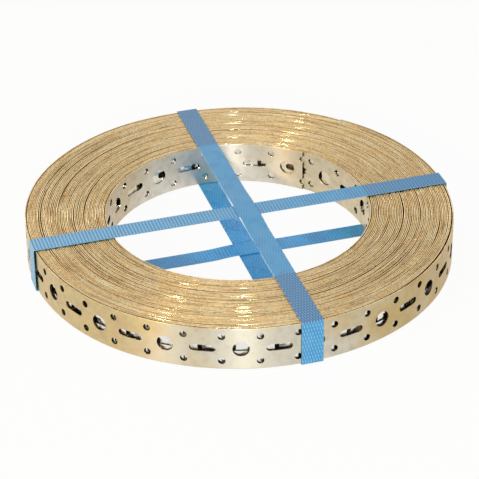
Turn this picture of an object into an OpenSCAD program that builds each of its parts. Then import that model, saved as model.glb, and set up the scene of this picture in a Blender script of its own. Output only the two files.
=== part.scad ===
// Coil of perforated galvanised steel strip, lying flat and tied by two crossing plastic straps.
// The origin is on the floor at the middle of the coil, +Z is up and +X runs along the first strap.

/* [Strip] */
// Width of the strip, which is the height of the coil
strip_w = 25; // [22:1:60]
// Thickness of the strip
strip_t = 0.9; // [0.6:0.1:1.5]
// Air between one turn and the next
turn_gap = 0.03; // [0:0.01:0.1]

/* [Coil] */
// Radius of the bore at the strip's inner end
bore_r = 73.5; // [50:0.5:120]
// Number of turns of strip
turns = 50; // [10:1:80]
// Direction in which both ends of the strip lie, in degrees from +X
end_angle = 42; // [0:1:359]
// Width of the groove between the edges of two turns
groove_w = 0.2; // [0.1:0.05:0.4]
// Depth of that groove
groove_d = 0.25; // [0.1:0.05:0.5]

/* [Perforation] */
// Distance along the strip from one pair of nail holes to the next
pair_pitch = 20; // [18:1:40]
// Distance across the strip between the two holes of a pair
pair_gap = 15; // [12:0.5:17]
// Diameter of a nail hole
nail_d = 4; // [3:0.5:5]
// Diameter of a bolt hole, midway between two pairs
bolt_d = 9; // [5:0.5:10]
// Length of a slot, which takes the bolt hole's place in every second space
slot_l = 14; // [8:0.5:16]
// Width of a slot
slot_w = 4; // [3:0.5:6]

/* [Straps] */
// Width of a strap
strap_w = 12; // [9:0.5:19]
// Thickness of a strap
strap_t = 0.7; // [0.5:0.05:1.2]
// Clearance between a strap and the coil or the other strap
strap_fit = 0.15; // [0.1:0.05:0.3]
// How far the first strap lies off the middle of the coil, along Y
first_off = -4; // [-10:1:10]
// How far the cross strap lies off the middle of the coil, along X
cross_off = 4; // [-10:1:10]
// Length over which a strap rises to pass over the other one
rise_l = 16; // [8:1:30]
// Flat length beside the other strap before the descent starts
rise_rest = 1; // [0.5:0.5:4]

/* [Hidden] */
$fn = 96;

pitch = strip_t + turn_gap;
coil_r = bore_r + turns * pitch;

// The spiral is made of half turns. Every second one has its centre half a pitch to the side,
// so that each half turn ends where the next one starts and the radius grows by a pitch a turn.
half_shift = pitch / 2;

coil_low = strap_t + strap_fit;
coil_top = coil_low + strip_w;

// A punch reaches this far out of the wall that it pierces
punch_over = 1;
feature_gap = pair_pitch / 2;

// Inside bend of a strap at the coil's square rim, tight enough to clear that rim
bend_r = 2 * strap_fit;
rise_h = strap_t + strap_fit;
rise_half = strap_w / 2 + rise_rest;

// Lays a radial section along the wound strip: one half turn about the axis, one about the shifted centre
module wind() {
    rotate_extrude(angle = 180) children();
    translate([half_shift, 0, 0])
        rotate([0, 0, 180])
            rotate_extrude(angle = 180)
                translate([half_shift, 0]) children();
}

// Section through all the turns, with a groove between their edges on both end faces
module turns_section() {
    half = groove_w / 2;
    seams = [for (k = [1 : turns - 1]) bore_r + k * pitch];
    lower = [for (r = seams) each [[r - half, 0], [r - half, groove_d], [r + half, groove_d], [r + half, 0]]];
    seams_back = [for (k = [1 : turns - 1]) coil_r - k * pitch];
    floor_z = strip_w - groove_d;
    upper = [for (r = seams_back) each
        [[r + half, strip_w], [r + half, floor_z], [r - half, floor_z], [r - half, strip_w]]];
    polygon(concat([[bore_r, 0]], lower, [[coil_r, 0], [coil_r, strip_w]], upper, [[bore_r, strip_w]]));
}

// Two nail holes, one above the other
module nail_pair(depth) {
    for (side = [-1, 1])
        translate([side * pair_gap / 2, 0, 0]) cylinder(d = nail_d, h = depth);
}

module bolt_hole(depth) {
    cylinder(d = bolt_d, h = depth);
}

module slot(depth) {
    end = (slot_l - slot_w) / 2;
    for (side = [-1, 1])
        translate([0, side * end, 0]) cylinder(d = slot_w, h = depth);
    translate([-slot_w / 2, -end, 0]) cube([slot_w, 2 * end, depth]);
}

// What is punched at one place along the strip: pairs at even places, bolt holes and slots by turns between them
module punch(place, bolt_place) {
    depth = strip_t + punch_over;
    if (place % 2 == 0) nail_pair(depth);
    else if (place % 4 == bolt_place) bolt_hole(depth);
    else slot(depth);
}

// Sets a punch on the wall of a half turn, pointing outward at mid height
module on_wall(shift, angle, radius) {
    translate([shift, 0, strip_w / 2])
        rotate([0, 0, angle])
            translate([radius, 0, 0])
                rotate([0, 90, 0]) children();
}

// Holes of the innermost turn, counted from the strip's inner end, which is cut through a pair
module inner_punches() {
    first_r = bore_r + strip_t / 2;
    second_r = first_r + half_shift;
    half_l = PI * first_r;
    turn_l = half_l + PI * second_r;
    for (place = [0 : floor((turn_l - slot_l) / feature_gap)]) {
        along = place * feature_gap;
        if (along < half_l)
            on_wall(0, along / half_l * 180, bore_r - punch_over) punch(place, 1);
        else
            on_wall(half_shift, 180 + (along - half_l) / (PI * second_r) * 180, bore_r + half_shift - punch_over)
                punch(place, 1);
    }
}

// Holes of the outermost turn, counted back from the strip's outer end, which is cut through a pair
module outer_punches() {
    first_r = coil_r + half_shift - strip_t / 2;
    second_r = first_r - half_shift;
    half_l = PI * first_r;
    turn_l = half_l + PI * second_r;
    for (place = [0 : floor((turn_l - slot_l) / feature_gap)]) {
        along = place * feature_gap;
        if (along < half_l)
            on_wall(half_shift, 360 - along / half_l * 180, coil_r + half_shift - strip_t) punch(place, 3);
        else
            on_wall(0, 180 - (along - half_l) / (PI * second_r) * 180, coil_r - strip_t) punch(place, 3);
    }
}

module strip_coil() {
    color([0.72, 0.66, 0.53])
        translate([0, 0, coil_low])
            rotate([0, 0, end_angle])
                difference() {
                    wind() turns_section();
                    inner_punches();
                    outer_punches();
                }
}

// Radius of the coil's outer wall in a direction
function wall_r(direction) =
    let (turned = (direction - end_angle + 720) % 360)
    turned < 180 ? coil_r : coil_r + half_shift * (1 + cos(turned));

// Distance from the axis to the inside of a strap's upright leg, clear of the wall over the strap's width
function leg_r(direction, off) =
    let (spread = asin((abs(off) + strap_w / 2) / coil_r))
    strap_fit + max([for (turn = [-spread, 0, spread]) wall_r(direction + turn)]);

// One quarter of the ring that a strap makes round a rim
module bend(corner, quarter) {
    translate(corner)
        rotate(quarter * 90)
            intersection() {
                difference() {
                    circle(bend_r + strap_t);
                    circle(bend_r);
                }
                square(bend_r + strap_t);
            }
}

// A level run of strap from x0 to x1 with its underside at z, which rises by h round the middle
module level_run(x0, x1, z, h, middle) {
    under = h == 0 ? [[x0, z], [x1, z]] : [
        [x0, z],
        [middle - rise_half - rise_l, z],
        [middle - rise_half, z + h],
        [middle + rise_half, z + h],
        [middle + rise_half + rise_l, z],
        [x1, z]
    ];
    last = len(under) - 1;
    over = [for (i = [0 : last]) under[last - i] + [0, strap_t]];
    polygon(concat(under, over));
}

// A closed strap seen from its side, with the rise of its lower and upper run
module strap_loop(back, front, low_h, top_h, middle) {
    x0 = -back + bend_r;
    x1 = front - bend_r;
    z0 = coil_low - strap_fit + bend_r;
    z1 = coil_top + strap_fit - bend_r;
    level_run(x0, x1, 0, low_h, middle);
    level_run(x0, x1, z1 + bend_r, top_h, middle);
    translate([-back - strap_t, z0]) square([strap_t, z1 - z0]);
    translate([front, z0]) square([strap_t, z1 - z0]);
    bend([x1, z1], 0);
    bend([x0, z1], 1);
    bend([x0, z0], 2);
    bend([x1, z0], 3);
}

// The strap that was tied first, along X: it is lowest on top and passes over the other one below
module first_strap() {
    color([0.24, 0.56, 0.82])
        translate([0, first_off, 0])
            rotate([90, 0, 0])
                linear_extrude(strap_w, center = true)
                    strap_loop(leg_r(180, first_off), leg_r(0, first_off), rise_h, 0, cross_off);
}

// The strap that was tied last, along Y: it lies on the outside at both crossings
module cross_strap() {
    color([0.24, 0.56, 0.82])
        translate([cross_off, 0, 0])
            rotate([90, 0, 90])
                linear_extrude(strap_w, center = true)
                    strap_loop(leg_r(270, cross_off), leg_r(90, cross_off), 0, rise_h, first_off);
}

strip_coil();
first_strap();
cross_strap();
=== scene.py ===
import math
import bmesh
import bpy
import numpy as np
from mathutils import Matrix, Vector
from mathutils.geometry import delaunay_2d_cdt


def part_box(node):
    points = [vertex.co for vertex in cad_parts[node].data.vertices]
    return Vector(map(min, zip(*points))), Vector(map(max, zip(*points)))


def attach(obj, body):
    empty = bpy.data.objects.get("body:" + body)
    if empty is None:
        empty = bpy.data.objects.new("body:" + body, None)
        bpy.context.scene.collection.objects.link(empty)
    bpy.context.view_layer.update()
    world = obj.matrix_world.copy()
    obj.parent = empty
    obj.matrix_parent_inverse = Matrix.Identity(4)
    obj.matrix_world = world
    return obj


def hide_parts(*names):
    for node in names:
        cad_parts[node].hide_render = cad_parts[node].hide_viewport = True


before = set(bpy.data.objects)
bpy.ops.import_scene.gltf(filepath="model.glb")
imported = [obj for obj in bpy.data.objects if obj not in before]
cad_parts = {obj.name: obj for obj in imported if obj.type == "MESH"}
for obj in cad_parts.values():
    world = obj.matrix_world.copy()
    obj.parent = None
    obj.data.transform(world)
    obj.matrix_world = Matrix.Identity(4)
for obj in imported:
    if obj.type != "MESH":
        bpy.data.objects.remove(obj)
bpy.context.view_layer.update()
print("frame loaded:", sorted(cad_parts))

mm = 0.001  # pieces are worked out in millimetres and stored in metres
tau = 2 * math.pi
near = 1e-3  # mm within which two places count as one
tiny = 1e-9  # keeps a rounding error from carrying a value over a limit
numberA, numberB, colourA, colourB, colourOut = 2, 3, 6, 7, 2  # sockets of a Mix node, by kind of value


def hexColour(text):  # sRGB hex to linear RGBA
    channels = [int(text[i:i + 2], 16) / 255 for i in (1, 3, 5)]
    return [c / 12.92 if c <= 0.04045 else ((c + 0.055) / 1.055) ** 2.4 for c in channels] + [1.0]


def addNode(tree, kind, inputs=(), **settings):  # inputs are values or links, in order or by socket
    made = tree.nodes.new("ShaderNode" + kind)
    for name, value in settings.items():
        setattr(made, name, value)
    for socket, value in (inputs.items() if isinstance(inputs, dict) else enumerate(inputs)):
        if isinstance(value, bpy.types.NodeSocket):
            tree.links.new(value, made.inputs[socket])
        else:
            made.inputs[socket].default_value = value
    return made.outputs


def newMaterial(name):
    material = bpy.data.materials.new(name)
    material.use_nodes = True
    material.node_tree.nodes.clear()
    return material, material.node_tree


def meshPiece(name, points, faces, faceMaterials, materials, sharpDegrees):
    mesh = bpy.data.meshes.new(name)
    mesh.from_pydata((np.asarray(points) * mm).tolist(), [], faces)
    for material in materials:
        mesh.materials.append(material)
    mesh.polygons.foreach_set("material_index", np.asarray(faceMaterials, dtype=np.int32))
    shaped = bmesh.new()
    shaped.from_mesh(mesh)
    bmesh.ops.recalc_face_normals(shaped, faces=shaped.faces)
    shaped.to_mesh(mesh)
    shaped.free()
    mesh.shade_smooth()
    mesh.set_sharp_from_angle(angle=math.radians(sharpDegrees))
    piece = bpy.data.objects.new(name, mesh)
    bpy.context.scene.collection.objects.link(piece)
    print(name, "has", sum(len(f) - 2 for f in faces), "triangles")
    return piece


def ease(f):  # 0 to 1 with a soft start and stop
    return f * f * (3 - 2 * f)


def windingCoordinates(tree):  # place, radius, height and direction, for patterns that follow the winding
    place = addNode(tree, "TexCoord")["Object"]
    axes = addNode(tree, "SeparateXYZ", [place])
    flat = addNode(tree, "CombineXYZ", [axes["X"], axes["Y"]])[0]
    radius = addNode(tree, "VectorMath", [flat], operation="LENGTH")["Value"]
    way = addNode(tree, "VectorMath", [flat], operation="NORMALIZE")["Vector"]
    ways = addNode(tree, "SeparateXYZ", [way])
    return place, radius, axes["Z"], ways["X"], ways["Y"]


# Hot-dipped zinc, skin-passed between rolls and passivated: a soft grey mirror with fine lines
# along the strip and a yellow cast round the coil, part passivation tint in patches and part painted warm
# reflection, with painted shade on one side
zincLook = {
    "silver": "#D8D2BF", "inBore": "#E4DFD3", "fresh": "#EAEAE5", "grey": "#B5AC98",
    "yellow": "#DCC48E", "shadedYellow": "#C2A870",  # the cast, and the same darker on its shaded side, as painted shade
    "stain": "#D0A87E",  # pinkish stains in the cast
    "castPatch": 45.0, "stainPatch": 11.0, "mottle": 4.0,  # mm
    "silverWay": (-0.028, -1.0),  # the cast, in part painted warm reflection, is least on this side of the coil and on the one across from it
    "castPatchiness": 0.9, "castBand": (0.54, 0.30), "shadedBand": (-0.1, 0.6),  # a band runs from none to most
    "stainBand": (0.50, 0.70), "stainMost": 0.5, "greyBand": (0.45, 0.75), "greyMost": 0.4,
    "roughness": (0.34, 0.44), "freshRoughness": (0.12, 0.22), "roughBand": (0.3, 0.7),
    "rollLine": 0.35,  # mm, drawn coarser than the real lines so that they show
    "linesRound": 3.0, "lineRelief": 0.12, "lineHeight": 0.05,  # lines to a radian, share and mm of the bump
    "drop": 3.0, "dropRelief": 1.0, "dropHeight": 0.55,  # mm, of the oil run together on the sheltered turns
    "alongLines": 0.88, "lineTurn": 0.25,  # it scatters more across its lines than along them
}


# tarnishAndReflection is how much of the cast has formed, passivation tint and painted warm reflection
# together, and shadedSide says on which side along X the cast is painted darker, as shade
def galvanisedZinc(name, silver, roughness, tarnishAndReflection, shadedSide, oily=False):
    look = zincLook
    material, tree = newMaterial(name)
    place, _, up, wayX, wayY = windingCoordinates(tree)
    cast = addNode(tree, "TexNoise",
                   {"Vector": place, "Scale": 1 / (look["castPatch"] * mm), "Detail": 2.0})[0]
    # painted reflection: the cast grows away from silverWay, so a warm reflection is painted on the sides of
    # the coil
    alongX = addNode(tree, "Math", [wayX, look["silverWay"][0]], operation="MULTIPLY")[0]
    along = addNode(tree, "Math", [wayY, look["silverWay"][1], alongX], operation="MULTIPLY_ADD")[0]
    offSilver = addNode(tree, "Math", [along], operation="ABSOLUTE")[0]
    patchy = addNode(tree, "Math", [cast, -look["castPatchiness"], offSilver], operation="MULTIPLY_ADD")[0]
    castShare = addNode(tree, "MapRange", [patchy, *look["castBand"], 0.0, tarnishAndReflection])[0]
    # painted shade: on the side along X that faces away from the lamps, the cast turns to the darker
    # shadedYellow
    toShaded = addNode(tree, "Math", [wayX, shadedSide], operation="MULTIPLY")[0]
    shadedShare = addNode(tree, "MapRange", [toShaded, *look["shadedBand"]])[0]
    yellow = addNode(tree, "Mix", {0: shadedShare, colourA: hexColour(look["yellow"]),
                                   colourB: hexColour(look["shadedYellow"])}, data_type="RGBA")[colourOut]
    stain = addNode(tree, "TexNoise", {"Vector": place, "Scale": 1 / (look["stainPatch"] * mm),
                                       "Detail": 3.0, "Roughness": 0.6})[0]
    stainShare = addNode(tree, "MapRange", [stain, *look["stainBand"], 0.0, look["stainMost"]])[0]
    stained = addNode(tree, "Mix", {0: stainShare, colourA: yellow, colourB: hexColour(look["stain"])},
                      data_type="RGBA")[colourOut]
    base = addNode(tree, "Mix", {0: castShare, colourA: hexColour(silver), colourB: stained},
                   data_type="RGBA")[colourOut]
    mottle = addNode(tree, "TexNoise",
                     {"Vector": place, "Scale": 1 / (look["mottle"] * mm), "Detail": 3.0})[0]
    greyShare = addNode(tree, "MapRange", [mottle, *look["greyBand"], 0.0, look["greyMost"]])[0]
    colour = addNode(tree, "Mix", {0: greyShare, colourA: base, colourB: hexColour(look["grey"])},
                     data_type="RGBA")[colourOut]
    dulled = addNode(tree, "MapRange", [mottle, *look["roughBand"], *roughness])[0]
    if oily:
        drops = addNode(tree, "TexNoise",
                        {"Vector": place, "Scale": 1 / (look["drop"] * mm), "Detail": 0.0})[0]
        bump = addNode(tree, "Bump", {"Height": drops, "Strength": look["dropRelief"],
                                      "Distance": look["dropHeight"] * mm})[0]
    else:
        lineX = addNode(tree, "Math", [wayX, look["linesRound"]], operation="MULTIPLY")[0]
        lineY = addNode(tree, "Math", [wayY, look["linesRound"]], operation="MULTIPLY")[0]
        lineUp = addNode(tree, "Math", [up, 1 / (look["rollLine"] * mm)], operation="MULTIPLY")[0]
        lineVector = addNode(tree, "CombineXYZ", [lineX, lineY, lineUp])[0]
        lines = addNode(tree, "TexNoise", {"Vector": lineVector, "Scale": 1.0, "Detail": 2.0})[0]
        bump = addNode(tree, "Bump", {"Height": lines, "Strength": look["lineRelief"],
                                      "Distance": look["lineHeight"] * mm})[0]
    around = addNode(tree, "Tangent", direction_type="RADIAL", axis="Z")[0]
    shader = addNode(tree, "BsdfPrincipled", {
        "Base Color": colour, "Metallic": 1.0, "Roughness": dulled, "Normal": bump, "Tangent": around,
        "Anisotropic": look["alongLines"], "Anisotropic Rotation": look["lineTurn"]})[0]
    addNode(tree, "OutputMaterial", {"Surface": shader})
    return material


# Steel bared by the slitting knives and tarnished since: tan and straw, each turn a shade of its own,
# with brown in the seams and a fine grit from the torn half of the cut
edgeLook = {
    "tan": "#E6CA97", "straw": "#EFDDB2", "brown": "#7A582C",
    "streaksPerTurn": 0.6, "streaksRound": 5.0,  # across the edge of one turn, and to a radian round the coil
    "strawBand": (0.48, 0.66), "brownBand": (0.44, 0.28), "brownMost": 0.48,  # a band runs from none to most
    "grit": 0.9,  # mm, drawn coarser than the real grit so that it shows
    "gritBand": (0.50, 0.66), "gritMost": 0.55, "gritRelief": 0.35, "gritHeight": 0.1,  # mm
    "roughness": (0.54, 0.68), "roughBand": (0.3, 0.7),
    "dash": (1.0, 1.2, 1.2), "dashBand": (0.53, 0.59),  # the sheared half of the cut, in short dashes
    "burnished": 0.15, "burnishedLevel": 0.5,  # it is smooth and flat
    "film": (0.0, 0.5), "filmRoughness": 0.06,  # the oil on it glints
}


def tarnishedEdge():
    look = edgeLook
    material, tree = newMaterial("steel_slit_edge_tarnished")
    place, radius, _, wayX, wayY = windingCoordinates(tree)
    perRadius = look["streaksPerTurn"] / (coil["pitch"] * mm)
    across = addNode(tree, "Math", [radius, perRadius], operation="MULTIPLY")[0]
    aroundX = addNode(tree, "Math", [wayX, look["streaksRound"]], operation="MULTIPLY")[0]
    aroundY = addNode(tree, "Math", [wayY, look["streaksRound"]], operation="MULTIPLY")[0]
    turnVector = addNode(tree, "CombineXYZ", [across, aroundX, aroundY])[0]
    turns = addNode(tree, "TexNoise",
                    {"Vector": turnVector, "Scale": 1.0, "Detail": 2.0, "Roughness": 0.6})[0]
    grit = addNode(tree, "TexNoise", {"Vector": place, "Scale": 1 / (look["grit"] * mm),
                                      "Detail": 3.0, "Roughness": 0.65})[0]
    strawShare = addNode(tree, "MapRange", [turns, *look["strawBand"]])[0]
    brownShare = addNode(tree, "MapRange", [turns, *look["brownBand"], 0.0, look["brownMost"]])[0]
    gritShare = addNode(tree, "MapRange", [grit, *look["gritBand"], 0.0, look["gritMost"]])[0]
    pale = addNode(tree, "Mix", {0: strawShare, colourA: hexColour(look["tan"]),
                                 colourB: hexColour(look["straw"])}, data_type="RGBA")[colourOut]
    streaked = addNode(tree, "Mix", {0: brownShare, colourA: pale, colourB: hexColour(look["brown"])},
                       data_type="RGBA")[colourOut]
    colour = addNode(tree, "Mix", {0: gritShare, colourA: streaked, colourB: hexColour(look["brown"])},
                     data_type="RGBA")[colourOut]
    dash = addNode(tree, "VectorMath", [turnVector, look["dash"]], operation="MULTIPLY")["Vector"]
    dashes = addNode(tree, "TexNoise", {"Vector": dash, "Scale": 1.0, "Detail": 1.0})[0]
    burnishShare = addNode(tree, "MapRange", [dashes, *look["dashBand"]])[0]
    torn = addNode(tree, "MapRange", [grit, *look["roughBand"], *look["roughness"]])[0]
    roughness = addNode(tree, "Mix", {0: burnishShare, numberA: torn, numberB: look["burnished"]})[0]
    level = addNode(tree, "Mix", {0: burnishShare, numberA: grit, numberB: look["burnishedLevel"]})[0]
    bump = addNode(tree, "Bump", {"Height": level, "Strength": look["gritRelief"],
                                  "Distance": look["gritHeight"] * mm})[0]
    filmWeight = addNode(tree, "MapRange", {0: burnishShare, 3: look["film"][0], 4: look["film"][1]})[0]
    shader = addNode(tree, "BsdfPrincipled", {
        "Base Color": colour, "Metallic": 1.0, "Roughness": roughness, "Normal": bump,
        "Coat Weight": filmWeight, "Coat Roughness": look["filmRoughness"], "Coat Normal": bump})[0]
    addNode(tree, "OutputMaterial", {"Surface": shader})
    return material


# Painted shade: near-black zinc with lighter patches, on the faces between two turns, wherever a hole or a
# gap shows them
shadeLook = {
    "dark": "#30271B", "film": "#75664B", "roughness": 0.45,
    "lighterPatch": 4.0, "lighterBand": (0.42, 0.60),  # mm, and from the dark to the lighter film colour of the painted shade
}


def paintedShadeZinc():
    look = shadeLook
    material, tree = newMaterial("zinc_between_turns_painted_shade")
    place = addNode(tree, "TexCoord")["Object"]
    film = addNode(tree, "TexNoise",
                   {"Vector": place, "Scale": 1 / (look["lighterPatch"] * mm), "Detail": 2.0})[0]
    lighterShare = addNode(tree, "MapRange", [film, *look["lighterBand"]])[0]
    colour = addNode(tree, "Mix", {0: lighterShare, colourA: hexColour(look["dark"]),
                                   colourB: hexColour(look["film"])}, data_type="RGBA")[colourOut]
    shader = addNode(tree, "BsdfPrincipled",
                     {"Base Color": colour, "Metallic": 1.0, "Roughness": look["roughness"]})[0]
    addNode(tree, "OutputMaterial", {"Surface": shader})
    return material


# The strip: wound from the bore outward, punched where a hole can show it, in the turns next to
# the bore and next to the outer wall
coil = {
    "turns": 50, "pitch": 0.93, "boreRadius": 73.5, "endAngle": 42.0, "width": 25.0,
    "thick": 0.71,  # drawn thinner than its 0.9 mm, so that the seams between the turns show
    "corner": 0.20,  # roll-over at the slit edges
    "stepsPerTurn": 112, "measureSteps": 720,  # of the mesh, and for measuring the strip's length
    "wobble": 0.05, "wobbleKnots": 5, "telescope": 0.16, "telescopeKnots": 4,  # mm and knots to a turn
    "looseSeams": 90, "looseOpening": (0.08, 0.40), "looseSpan": (22, 110),  # mm and degrees
    "tightTurns": (4, 3), "tightDegrees": 5,  # no seam is loose so near the bore, the wall and the ends
    "outerGap": 0.30, "innerGap": 0.25,  # room under the last turn and behind the first
    "pulls": [(143.0, 45.0, 1.9), (46.0, 30.0, 1.1)],  # a strap draws the turns in: angle, reach, depth
    "liftAngle": 276.0, "liftSpan": 32.0, "lift": 0.4,  # the last turn stands off, counted from the ends
    "endPressed": 0.38, "endPressedSpan": 16.0,  # and its end is pressed in
    "sharpAngle": 50, "seed": 7,
}
punch = {
    "repeat": 40.0, "pairGap": 15.0, "nailRadius": 2.0, "boltRadius": 4.5,
    "slotLength": 14.0, "slotWidth": 4.0,
    "grid": 2.5, "rows": 8, "rim": 0.3, "margin": 0.7, "arc": 16, "weld": 1e-5,  # of the mesh
    "cut": 37.5,  # a place in the repeat between two holes
    "litWallSlope": 0.3,  # in the bore, hole walls that face up by more than this get the bright sheltered zinc, a painted highlight
    "innerLayers": 3,  # turns deep that the holes of the bore show
    "outerLayers": [(0.0, 2.6), (35.0, 36.0), (23.6, 35.0)],  # places where each outer turn starts and stops
}
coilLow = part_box("strip_coil")[0]
floorOfCoil = coilLow[2] / mm


def windRadius(phi):  # inner face of the strip, in half turns whose centre shifts by half a pitch
    turn = np.floor(phi / tau)
    angle = phi - turn * tau
    grow = np.where(angle > math.pi, coil["pitch"] / 2 * (1 + np.cos(angle)), 0.0)
    return coil["boreRadius"] + turn * coil["pitch"] + grow


def smoothSteps(phi, knots, perTurn):  # knots spaced evenly along the strip, eased from one to the next
    x = phi / tau * perTurn
    i = np.clip(np.floor(x).astype(int), 0, len(knots) - 2)
    f = ease(np.clip(x - i, 0, 1))
    return knots[i] * (1 - f) + knots[i + 1] * f


def bumpWindow(angle, middle, halfSpan):  # 1 in the middle, eased to 0 at both ends
    x = np.clip(np.abs(angle - middle) / halfSpan, 0, 1)
    return 0.5 + 0.5 * np.cos(math.pi * x)


chance = np.random.default_rng(coil["seed"])
wobbleKnots = chance.uniform(-1, 1, coil["turns"] * coil["wobbleKnots"] + 2)
telescopeKnots = chance.uniform(-1, 1, coil["turns"] * coil["telescopeKnots"] + 2)
firstLoose, lastLoose = coil["tightTurns"][0], coil["turns"] - coil["tightTurns"][1]
looseSeams = []
for _ in range(coil["looseSeams"]):
    halfSpan = chance.uniform(*coil["looseSpan"]) / 2
    seam = int(chance.integers(firstLoose, lastLoose))
    middle = chance.uniform(halfSpan + coil["tightDegrees"], 360 - coil["tightDegrees"] - halfSpan)
    looseSeams.append((seam, middle, halfSpan, chance.uniform(*coil["looseOpening"])))


def uneven(phi):  # how far the strip lies off its ideal winding
    turn = np.floor(phi / tau)
    degrees = np.degrees(phi - turn * tau)
    shift = coil["wobble"] * smoothSteps(phi, wobbleKnots, coil["wobbleKnots"])
    for seam, middle, halfSpan, opening in looseSeams:
        inside = -turn / seam / 2
        outside = (coil["turns"] - turn) / (coil["turns"] - seam) / 2
        parted = np.where(turn < seam, inside, outside)
        shift = shift + opening * bumpWindow(degrees, middle, halfSpan) * parted
    outermost, innermost = coil["turns"] - 1, 1
    shift = shift - np.where(turn < outermost, coil["outerGap"] * turn / outermost, 0.0)
    shift = shift + np.where(turn >= innermost, coil["innerGap"] * (coil["turns"] - turn) / outermost, 0.0)
    for middle, reach, depth in coil["pulls"]:
        shift = shift - depth * bumpWindow(degrees, middle, reach) * (phi / tau / coil["turns"]) ** 2
    standOff = coil["lift"] * bumpWindow(degrees, coil["liftAngle"], coil["liftSpan"])
    shift = shift + np.where(turn >= outermost, standOff, 0.0)
    fromEnd = np.degrees(coil["turns"] * tau - phi)
    pressed = np.clip(1 - fromEnd / coil["endPressedSpan"], 0, 1)
    return shift - coil["endPressed"] * pressed * pressed


def onStrip(phi, across, through):  # a point of the strip, in the object's frame
    radius = windRadius(phi) + uneven(phi) + through
    angle = phi + math.radians(coil["endAngle"])
    slid = coil["telescope"] * smoothSteps(phi, telescopeKnots, coil["telescopeKnots"])
    return np.stack([radius * np.cos(angle), radius * np.sin(angle), floorOfCoil + across + slid], axis=-1)


phiGrid = np.linspace(0, coil["turns"] * tau, coil["turns"] * coil["measureSteps"] + 1)
midRadius = windRadius(phiGrid[:-1] + tiny) + coil["thick"] / 2
alongGrid = np.concatenate([[0], np.cumsum(midRadius * np.diff(phiGrid))])
print("strip is", round(alongGrid[-1] * mm, 2), "m long")


def holesOf(kind):  # outlines at one place of the pattern, in mm along and across the strip
    mid = coil["width"] / 2
    if kind == "pair":
        r = punch["nailRadius"]
        a = np.arange(punch["arc"]) / punch["arc"] * tau
        middles = [mid + side * punch["pairGap"] / 2 for side in (-1, 1)]
        return [np.stack([r * np.cos(a), z + r * np.sin(a)], 1) for z in middles]
    if kind == "bolt":
        r = punch["boltRadius"]
        a = np.arange(2 * punch["arc"]) / (2 * punch["arc"]) * tau
        return [np.stack([r * np.cos(a), mid + r * np.sin(a)], 1)]
    r = punch["slotWidth"] / 2
    reach = punch["slotLength"] / 2 - r
    half = np.linspace(-math.pi / 2, math.pi / 2, punch["arc"] // 2 + 1)
    right = np.stack([reach + r * np.cos(half), mid + r * np.sin(half)], 1)
    side = np.stack([np.array([reach / 2, 0, -reach / 2]), np.full(3, mid + r)], 1)
    left = np.stack([-reach - r * np.cos(half), mid - r * np.sin(half)], 1)
    other = np.stack([np.array([-reach / 2, 0, reach / 2]), np.full(3, mid - r)], 1)
    return [np.concatenate([right, side, left, other])]


def inHole(kind, ds, z, extra=0.0):  # whether a place is in a hole, or within extra of it
    mid = coil["width"] / 2
    if kind == "pair":
        return np.hypot(ds, np.abs(z - mid) - punch["pairGap"] / 2) < punch["nailRadius"] + extra
    if kind == "bolt":
        return np.hypot(ds, z - mid) < punch["boltRadius"] + extra
    reach = (punch["slotLength"] - punch["slotWidth"]) / 2
    return np.hypot(np.maximum(np.abs(ds) - reach, 0), z - mid) < punch["slotWidth"] / 2 + extra


def flatPiece(start, end, places):  # a piece of the strip laid flat: its points and triangles
    low, high = coil["corner"], coil["width"] - coil["corner"]
    columns = np.linspace(start, end, max(round((end - start) / punch["grid"]), 1) + 1)
    rows = np.linspace(low, high, punch["rows"])
    rows = np.concatenate([[low, low + punch["rim"]], rows[1:-1], [high - punch["rim"], high]])
    border = [(s, low) for s in columns] + [(end, z) for z in rows[1:-1]]
    border += [(s, high) for s in columns[::-1]] + [(start, z) for z in rows[-2:0:-1]]
    points = list(border)
    edges = [(i, (i + 1) % len(border)) for i in range(len(border))]
    for at, kind in places:
        for outline in holesOf(kind):
            loop = outline + [at, 0]
            first = len(points)
            if loop[:, 0].min() < start - tiny:  # the strip is cut through this hole
                keep = loop[loop[:, 0] >= start - tiny]
                keep = keep[np.argsort(keep[:, 1])]
                keep[[0, -1], 0] = start
                points += [tuple(p) for p in keep]
                edges += [(first + i, first + i + 1) for i in range(len(keep) - 1)]
            else:
                points += [tuple(p) for p in loop]
                edges += [(first + i, first + (i + 1) % len(loop)) for i in range(len(loop))]
    for s in columns[1:-1]:
        for z in rows[1:-1]:
            if not any(inHole(kind, s - at, z, punch["margin"]) for at, kind in places):
                points.append((s, z))
    flat, _, triangles, *_ = delaunay_2d_cdt([Vector(p) for p in points], edges, [], 0, punch["weld"])
    flat = np.array([tuple(p) for p in flat])
    triangles = np.array(triangles)
    middle = flat[triangles].mean(axis=1)
    holes = [inHole(kind, middle[:, 0] - at, middle[:, 1]) for at, kind in places]
    return flat, triangles[~np.any(holes, axis=0)] if holes else triangles


def flatStretch(start, end, odd):  # a stretch of the pattern, with odd punched by turns between its pairs
    repeat, step = punch["repeat"], punch["repeat"] / 4
    kinds = ("pair", odd[0], "pair", odd[1])
    cuts = [start] + [c for c in np.arange(punch["cut"], end, repeat) if start < c] + [end]
    points, triangles, count = [], [], 0
    for a, b in zip(cuts, cuts[1:]):
        first, last = math.ceil(a / step - tiny), math.floor(b / step)
        flat, three = flatPiece(a, b, [(k * step, kinds[k % 4]) for k in range(first, last + 1)])
        points.append(flat)
        triangles.append(three + count)
        count += len(flat)
    joined = np.round(np.concatenate(points), 4)  # so that the borders of two pieces meet
    single, where = np.unique(joined, axis=0, return_inverse=True)
    return single, where.reshape(-1)[np.concatenate(triangles)]


# Materials of the coil, by slot number
# shadeBetweenTurns is painted shade, for the faces between turns, the walls of holes and the cut ends
zincFace, slitEdge, shadeBetweenTurns, freshFace, boreFace, behindBore = range(6)


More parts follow.
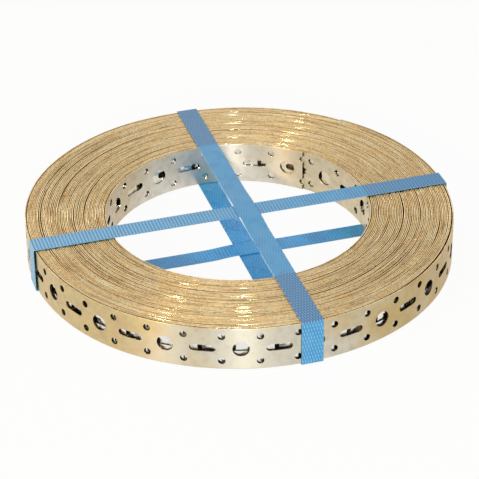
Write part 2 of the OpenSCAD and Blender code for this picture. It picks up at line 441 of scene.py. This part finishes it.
def coilMaterials():  # in the order of the slot numbers
    worn, sheltered = zincLook["roughness"], zincLook["freshRoughness"]
    return [
        galvanisedZinc("galvanised_zinc_skin_passed", zincLook["silver"], worn, tarnishAndReflection=1.0, shadedSide=1.0),
        tarnishedEdge(),
        paintedShadeZinc(),
        galvanisedZinc("galvanised_zinc_sheltered", zincLook["fresh"], sheltered,
                       tarnishAndReflection=0.0, shadedSide=1.0, oily=True),
        galvanisedZinc("galvanised_zinc_in_bore", zincLook["inBore"], worn, tarnishAndReflection=0.6, shadedSide=-1.0),
        galvanisedZinc("galvanised_zinc_sheltered_in_bore", zincLook["inBore"], sheltered,
                       tarnishAndReflection=0.6, shadedSide=-1.0, oily=True),
    ]


# A punched stretch, bent round the coil: its points, faces and material slots
def punchedTurn(start, end, odd, phiOf, seenFromOutside, faceSlot):
    flat, triangles = flatStretch(start, end, odd)
    thick, corner, width = coil["thick"], coil["corner"], coil["width"]
    onRim = np.isclose(flat[:, 1], corner, atol=near) | np.isclose(flat[:, 1], width - corner, atol=near)
    onEnd = np.isclose(flat[:, 0], start, atol=near) | np.isclose(flat[:, 0], end, atol=near)
    count, rimCount = len(flat), int(onRim.sum())
    rimRow = np.full(count, -1)
    rimRow[onRim] = np.arange(rimCount)
    rimZ = np.where(flat[onRim, 1] < width / 2, 0.0, width)
    along = np.concatenate([flat[:, 0], flat[:, 0], flat[onRim, 0], flat[onRim, 0]])
    across = np.concatenate([flat[:, 1], flat[:, 1], rimZ, rimZ])
    through = np.repeat([thick, 0.0, thick - corner, corner], [count, count, rimCount, rimCount])
    points = onStrip(phiOf(along), across, through)
    # the face against the next turn takes the painted shade
    outer, inner = (faceSlot, shadeBetweenTurns) if seenFromOutside else (shadeBetweenTurns, faceSlot)
    faces = triangles.tolist() + (triangles[:, ::-1] + count).tolist()
    slots = [outer] * len(triangles) + [inner] * len(triangles)
    used = {(a, b) for t in triangles.tolist() for a, b in ((t[0], t[1]), (t[1], t[2]), (t[2], t[0]))}
    for a, b in sorted(used):
        if (b, a) in used:
            continue
        if onRim[a] and onRim[b] and flat[a, 1] == flat[b, 1]:
            ra, rb = 2 * count + rimRow[a], 2 * count + rimRow[b]
            ring = [(a, b), (ra, rb), (ra + rimCount, rb + rimCount), (a + count, b + count)]
            for (p, q), (s, t) in zip(ring, ring[1:]):
                faces.append([q, p, s, t])
                slots.append(slitEdge)
        else:  # the wall of a hole, or a cut end: painted shade, except the bore's walls that face up, which get a painted highlight
            facesUp = flat[a, 0] - flat[b, 0] > punch["litWallSlope"] * np.hypot(*(flat[a] - flat[b]))
            faces.append([b, a, a + count, b + count])
            slots.append(freshFace if facesUp and not seenFromOutside else shadeBetweenTurns)
    # the ends of the rims take the painted shade
    for a in np.flatnonzero(onRim & onEnd):
        ra = 2 * count + rimRow[a]
        faces.append([a, ra, ra + rimCount, a + count])
        slots.append(shadeBetweenTurns)
    return points, [[int(i) for i in f] for f in faces], slots


def plainTurns(phiStart, phiEnd):  # the turns between, closed at both ends
    steps = round((phiEnd - phiStart) / tau * coil["stepsPerTurn"])
    phi = np.linspace(phiStart, phiEnd, steps + 1)
    thick, corner, width = coil["thick"], coil["corner"], coil["width"]
    section = [(corner, 0), (thick - corner, 0), (thick, corner), (thick, width - corner),
               (thick - corner, width), (corner, width), (0, width - corner), (0, corner)]
    # the faces against the neighbouring turns, and both end caps, take the painted shade
    sideSlots = [slitEdge, slitEdge, shadeBetweenTurns, slitEdge] * 2
    sides = len(section)
    points = np.stack([onStrip(phi, z, n) for n, z in section], axis=1).reshape(-1, 3)
    faces, slots = [list(range(sides))], [shadeBetweenTurns]
    for i in range(steps):
        for j in range(sides):
            k = (j + 1) % sides
            faces.append([i * sides + j, i * sides + k, (i + 1) * sides + k, (i + 1) * sides + j])
            slots.append(sideSlots[j])
    faces.append([steps * sides + j for j in range(sides)][::-1])
    slots.append(shadeBetweenTurns)
    return points, faces, slots


def phiFromInnerEnd(along):  # angle of a place on the strip, whose second turn lies slack behind the first
    return np.interp(along, alongGrid + coil["innerGap"] * np.maximum(phiGrid - tau, 0), phiGrid)


def phiFromOuterEnd(along):  # the same, counted back from the outer end
    return np.interp(alongGrid[-1] - along, alongGrid, phiGrid)


def wholeRepeats(length, place):  # whole repeats and a place in the next one, as near to a length as can be
    return place + punch["repeat"] * round((length - place) / punch["repeat"])


def woundStrip():
    turnSteps, cut = coil["measureSteps"], punch["cut"]
    innerLength = wholeRepeats(alongGrid[punch["innerLayers"] * turnSteps], cut)
    firstTurn = wholeRepeats(alongGrid[turnSteps], cut)
    inBore = ("bolt", "slot"), phiFromInnerEnd, False
    parts = [punchedTurn(0.0, firstTurn, *inBore, boreFace),
             punchedTurn(firstTurn, innerLength, *inBore, behindBore)]
    turnLength = alongGrid[-1] - alongGrid[-1 - turnSteps]
    done = 0.0
    for layer, (start, stop) in enumerate(punch["outerLayers"]):
        end = wholeRepeats(start + turnLength, stop)
        parts.append(punchedTurn(start, end, ("slot", "bolt"), lambda s: phiFromOuterEnd(s + done - start),
                                 True, freshFace if layer else zincFace))
        done += end - start
    parts.append(plainTurns(float(phiFromInnerEnd(innerLength)), float(phiFromOuterEnd(done))))
    points, faces, slots, begin = [], [], [], 0
    for partPoints, partFaces, partSlots in parts:
        points.append(partPoints)
        faces += [[i + begin for i in f] for f in partFaces]
        slots += partSlots
        begin += len(partPoints)
    return meshPiece("wound_strip", np.concatenate(points), faces, slots, coilMaterials(), coil["sharpAngle"])


strip = woundStrip()
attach(strip, "root")
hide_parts("strip_coil")


# Polypropylene strapping, drawn and then embossed between rollers: glossy blue with a fine waffle,
# whitened where the ridges were stretched, and paler still on the ridges and edges as painted highlights
strapLook = {
    # inside is painted light: the inside faces are a lighter, stronger blue, standing in for light let
    # through the strap and thrown up from the floor
    "blue": "#3396D2", "inside": "#2EABF0", "pale": "#6FAAD6", "deep": "#2F78B4", "ridge": "#ACD0E6",
    "shadedOverMetal": "#3C76AA",  # painted shade: it lets some light through, so where it lies on the edges of the strip it is painted duller and greyer
    "patch": 9.0,  # mm
    "paleBand": (0.5, 0.75), "paleMost": 0.35, "deepBand": (0.5, 0.3), "deepMost": 0.4,  # from none to most
    "roughness": (0.22, 0.36), "roughBand": (0.3, 0.7), "ior": 1.49,
}


def embossedStrapping(name, blue):
    look = strapLook
    material, tree = newMaterial(name)
    place = addNode(tree, "TexCoord")["Object"]
    patch = addNode(tree, "TexNoise",
                    {"Vector": place, "Scale": 1 / (look["patch"] * mm), "Detail": 3.0})[0]
    paleShare = addNode(tree, "MapRange", [patch, *look["paleBand"], 0.0, look["paleMost"]])[0]
    deepShare = addNode(tree, "MapRange", [patch, *look["deepBand"], 0.0, look["deepMost"]])[0]
    shadedOverMetal = addNode(tree, "Attribute", attribute_name="shadedOverMetal")["Fac"]
    ridge = addNode(tree, "Attribute", attribute_name="ridge")["Fac"]
    colour = hexColour(blue)
    for share, over in ((paleShare, "pale"), (deepShare, "deep"), (shadedOverMetal, "shadedOverMetal"), (ridge, "ridge")):
        colour = addNode(tree, "Mix", {0: share, colourA: colour, colourB: hexColour(look[over])},
                         data_type="RGBA")[colourOut]
    roughness = addNode(tree, "MapRange", [patch, *look["roughBand"], *look["roughness"]])[0]
    shader = addNode(tree, "BsdfPrincipled",
                     {"Base Color": colour, "Roughness": roughness, "IOR": look["ior"]})[0]
    addNode(tree, "OutputMaterial", {"Surface": shader})
    return material


# The straps: closed loops that follow the solids, embossed on both faces
strap = {
    "thick": 0.7, "bend": 0.3, "riseLength": 16.0, "riseRest": 1.0, "depth": 0.28, "edge": 0.22,  # mm
    "bendSteps": 6, "sharpAngle": 60,
    "whiteGain": 2.0, "edgeHighlight": 0.45, "insideWhite": 0.4,  # the edges get a pale painted highlight, and the inside is whitened less
}
firstStrap = {  # how much it is whitened and given painted highlights, pressed, and painted darker over the metal (dulled) is given at its two ends
    "node": "first_strap", "other": "cross_strap", "alongAxis": 0, "floorRise": 0.85, "topRise": 0.0,
    "pulled": (1.85, 0.0),  # mm that each end lies inside the solid's, where the turns are drawn in
    "waves": [(1.88, math.inf, 0.75), (1.88, 2.4, 0.125), (1.88, -2.4, 0.125)],  # mm along, across, share
    "step": 0.376, "columns": 22,  # of the mesh, fine enough for the ribs
    "whitenedAndHighlit": (0.85, 0.2), "whiteFrom": 0.7, "pressed": (1.0, 0.35), "dulled": (0.0, 0.7),
}
crossStrap = {
    "node": "cross_strap", "other": "first_strap", "alongAxis": 1, "floorRise": 0.0, "topRise": 0.85,
    "pulled": (0.0, 1.05),
    "waves": [(4.8, -1.55, 0.65), (4.8, 1.55, 0.35)],  # long diamonds
    "step": 0.6, "columns": 44,
    "whitenedAndHighlit": (1.0, 1.0), "whiteFrom": 0.40, "pressed": (1.0, 1.0), "dulled": (0.9, 0.9),
}


def loopPath(low, high, look, middle, halfRise):  # middle line of a strap seen from its side
    half, step = strap["thick"] / 2, look["step"]
    radius = strap["bend"] + half
    x0, x1, z0, z1 = low[0] + half, high[0] - half, low[1] + half, high[1] - half - look["topRise"]

    def rise(x, h):
        fromFoot = halfRise + strap["riseLength"] - np.abs(x - middle)
        return h * ease(np.clip(fromFoot / strap["riseLength"], 0, 1))

    def corner(cx, cz, fromDegrees):
        a = np.radians(fromDegrees + np.linspace(0, 90, strap["bendSteps"] + 1)[1:-1])
        return np.stack([cx + radius * np.cos(a), cz + radius * np.sin(a)], 1)

    xs = np.linspace(x0 + radius, x1 - radius, round((x1 - x0) / step))
    zs = np.linspace(z0 + radius, z1 - radius, round((z1 - z0) / step))
    return np.concatenate([
        np.stack([xs, z0 + rise(xs, look["floorRise"])], 1), corner(x1 - radius, z0 + radius, -90),
        np.stack([np.full_like(zs, x1), zs], 1), corner(x1 - radius, z1 - radius, 0),
        np.stack([xs[::-1], z1 + rise(xs[::-1], look["topRise"])], 1), corner(x0 + radius, z1 - radius, 90),
        np.stack([np.full_like(zs, x0), zs[::-1]], 1), corner(x0 + radius, z0 + radius, 180),
    ])


def strapPiece(look, materials):
    node, alongAxis = look["node"], look["alongAxis"]
    acrossAxis = 1 - alongAxis
    low, high = (np.array(c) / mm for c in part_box(node))
    low[alongAxis] += look["pulled"][0]
    high[alongAxis] -= look["pulled"][1]
    otherLow, otherHigh = (np.array(c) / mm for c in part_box(look["other"]))
    middle = (otherLow[alongAxis] + otherHigh[alongAxis]) / 2
    halfRise = (otherHigh[alongAxis] - otherLow[alongAxis]) / 2 + strap["riseRest"]
    path = loopPath(low[[alongAxis, 2]], high[[alongAxis, 2]], look, middle, halfRise)
    ahead = np.roll(path, -1, 0) - path
    length = np.hypot(ahead[:, 0], ahead[:, 1])
    around = np.concatenate([[0], np.cumsum(length)[:-1]]) / length.sum()
    tangent = np.roll(path, -1, 0) - np.roll(path, 1, 0)
    tangent /= np.linalg.norm(tangent, axis=1)[:, None]
    outward = np.stack([tangent[:, 1], -tangent[:, 0]], 1)
    half, sideways = strap["thick"] / 2, (high[acrossAxis] - low[acrossAxis]) / 2
    lanes = np.linspace(-sideways + strap["edge"], sideways - strap["edge"], look["columns"])
    wave = 0
    for along, across, share in look["waves"]:  # a whole number of waves, so that the loop closes
        phase = round(length.sum() / along) * around[:, None] + lanes[None, :] / across
        wave = wave + share * np.cos(tau * phase)
    sunk = 0.5 - 0.5 * wave  # 0 on a ridge, 1 in a hollow
    toEnd = (path[:, 0] - low[alongAxis]) / (high[alongAxis] - low[alongAxis])
    whitenedAndHighlit, pressed = (np.interp(toEnd, (0, 1), look[k])[:, None] for k in ("whitenedAndHighlit", "pressed"))
    # pale ridges: stress whitening, with painted highlights that fade toward one end of the first strap
    white = whitenedAndHighlit * np.clip(strap["whiteGain"] * (look["whiteFrom"] - sunk), 0, 1)
    relief = strap["depth"] * pressed * sunk
    side = np.full((len(path), 1), half - strap["edge"])
    reach = np.concatenate([half - relief, side, -side, (relief - half)[:, ::-1], -side, side], 1)
    place = np.concatenate([lanes, [sideways, sideways], lanes[::-1], [-sideways, -sideways]])
    ring = len(place)
    points = np.zeros((len(path), ring, 3))
    points[:, :, alongAxis] = path[:, 0, None] + outward[:, 0, None] * reach
    points[:, :, 2] = path[:, 1, None] + outward[:, 1, None] * reach
    points[:, :, acrossAxis] = (low[acrossAxis] + high[acrossAxis]) / 2 + place[None, :]
    i, j = np.meshgrid(np.arange(len(path)), np.arange(ring), indexing="ij")
    nextI, nextJ = (i + 1) % len(path), (j + 1) % ring
    corners = [i * ring + j, i * ring + nextJ, nextI * ring + nextJ, nextI * ring + j]
    faces = np.stack(corners, -1).reshape(-1, 4).tolist()
    inside = (j >= look["columns"] + 1) & (j < ring - 2)
    piece = meshPiece(node + "_embossed", points.reshape(-1, 3), faces, inside.ravel(), materials,
                      strap["sharpAngle"])
    # painted highlight along both edges of the strap
    edges = np.full((len(path), 2), strap["edgeHighlight"])
    ridges = np.concatenate([white, edges, strap["insideWhite"] * white[:, ::-1], edges], 1)
    piece.data.attributes.new("ridge", "FLOAT", "POINT").data.foreach_set("value", ridges.ravel())
    # painted shade where the strap lies over the coil's edges, as much as its dulled share at that end
    onEdges = (path[:, 1] > floorOfCoil + coil["width"]) & (np.abs(path[:, 0]) > coil["boreRadius"])
    shadedOverMetal = np.repeat(np.where(toEnd < 0.5, *look["dulled"]) * onEdges, ring)
    piece.data.attributes.new("shadedOverMetal", "FLOAT", "POINT").data.foreach_set("value", shadedOverMetal)
    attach(piece, "root")
    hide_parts(node)


strapping = [embossedStrapping("polypropylene_strapping_embossed", strapLook["blue"]),
             # the second material carries the painted light of the inside faces
             embossedStrapping("polypropylene_strapping_inside_painted_light", strapLook["inside"])]
strapPiece(firstStrap, strapping)
strapPiece(crossStrap, strapping)

# Camera: found from the rims of the coil in the photograph, in a frame whose Y axis points away from it
photo = {
    "elevation": 31.83, "turn": -16.6, "roll": -0.60,  # degrees
    "distance": 1.2102, "aimX": 0.00096, "aimY": 0.0073, "clip": (0.01, 50.0),  # m
    "lens": 159.9, "sensor": 36.0,  # mm
}
viewTurn = Matrix.Rotation(math.radians(photo["turn"]), 4, "Z")  # right, away and up to the object's frame


def addCamera():
    tilt, roll = math.radians(photo["elevation"]), math.radians(photo["roll"])
    eye = Vector((photo["aimX"], photo["aimY"] - photo["distance"] * math.cos(tilt),
                  photo["distance"] * math.sin(tilt) + coilLow[2]))
    right, up = Vector((1, 0, 0)), Vector((0, math.sin(tilt), math.cos(tilt)))
    back = right.cross(up)
    rolledRight = right * math.cos(roll) + up * math.sin(roll)
    rolledUp = up * math.cos(roll) - right * math.sin(roll)
    stand = Matrix((rolledRight, rolledUp, back)).transposed().to_4x4()
    stand.translation = eye
    data = bpy.data.cameras.new("camera")
    data.lens = photo["lens"]
    data.sensor_width = photo["sensor"]
    data.clip_start, data.clip_end = photo["clip"]
    camera = bpy.data.objects.new("camera", data)
    camera.matrix_world = viewTurn @ stand
    bpy.context.scene.collection.objects.link(camera)
    bpy.context.scene.camera = camera


addCamera()

# Studio: a pale floor, a white surround and soft panels
studio = {
    "floorRadius": 4.0, "floorSides": 96, "floorDrop": 0.0002,  # m, a hair below what stands on it
    "floor": "#F4F3F0", "white": "#FFFFFF", "floorWhite": 0.94, "worldFill": 0.55, "worldGlossy": 0.85,
    "panels": [  # name, place as the camera sees it, size, power, colour
        ("front", (0.07, -1.6, 0.64), 0.24, 8.8, "#FFFDF8"),
        ("behind", (-1.1, 2.9, 2.0), 2.8, 9.0, "#FFF8EC"),
        ("left_front", (-1.1, -1.32, 0.9), 0.20, 11.0, "#FFEAC4"),
        ("left_back", (-0.9, 1.4, 0.6), 0.40, 1.3, "#FFF4E0"),
        ("right_back", (0.9, 1.4, 0.6), 0.20, 0.35, "#FFF4E0"),
    ],
}


def addPanel(name, place, size, power, colour):
    data = bpy.data.lights.new(name, "AREA")
    data.shape = "DISK"
    data.size = size
    data.energy = power
    data.color = hexColour(colour)[:3]
    panel = bpy.data.objects.new(name, data)
    panel.location = viewTurn @ Vector(place)
    panel.rotation_euler = (-panel.location).to_track_quat("-Z", "Y").to_euler()
    bpy.context.scene.collection.objects.link(panel)


def addFloor():  # rays from the camera or a mirror see it nearly white, with the shadow left in it
    material, tree = newMaterial("studio_floor_matte")
    path = addNode(tree, "LightPath")
    either = addNode(tree, "Math", [path["Is Camera Ray"], path["Is Glossy Ray"]], operation="MAXIMUM")[0]
    seen = addNode(tree, "Math", [either, path["Is Transmission Ray"]], operation="MAXIMUM")[0]
    share = addNode(tree, "Math", [seen, studio["floorWhite"]], operation="MULTIPLY")[0]
    paint = addNode(tree, "BsdfDiffuse", {"Color": hexColour(studio["floor"])})[0]
    white = addNode(tree, "Emission", {"Color": hexColour(studio["white"]), "Strength": 1.0})[0]
    mixed = addNode(tree, "MixShader", [share, paint, white])[0]
    addNode(tree, "OutputMaterial", {"Surface": mixed})
    mesh = bpy.data.meshes.new("studio_floor")
    sides = studio["floorSides"]
    around = np.linspace(0, tau, sides, endpoint=False)
    rim = np.stack([np.cos(around), np.sin(around), np.zeros(sides)], 1) * studio["floorRadius"]
    mesh.from_pydata(rim.tolist(), [], [list(range(sides))])
    mesh.materials.append(material)
    floor = bpy.data.objects.new("studio_floor", mesh)
    floor.location.z = -studio["floorDrop"]
    bpy.context.scene.collection.objects.link(floor)


def addWorld():  # white to the camera and through glass, a little less in a mirror, and plain as light
    world = bpy.data.worlds.new("studio_world")
    world.use_nodes = True
    tree = world.node_tree
    tree.nodes.clear()
    path = addNode(tree, "LightPath")
    glossy = addNode(tree, "Mix", {0: path["Is Glossy Ray"], numberA: studio["worldFill"],
                                   numberB: studio["worldGlossy"]})[0]
    clear = addNode(tree, "Math", [path["Is Camera Ray"], path["Is Transmission Ray"]],
                    operation="MAXIMUM")[0]
    strength = addNode(tree, "Mix", {0: clear, numberA: glossy, numberB: 1.0})[0]
    background = addNode(tree, "Background", {"Color": hexColour(studio["white"]), "Strength": strength})[0]
    addNode(tree, "OutputWorld", {"Surface": background})
    bpy.context.scene.world = world


addFloor()
addWorld()
for panel in studio["panels"]:
    addPanel(*panel)
bpy.context.scene.view_settings.view_transform = "Standard"
print("studio is set")
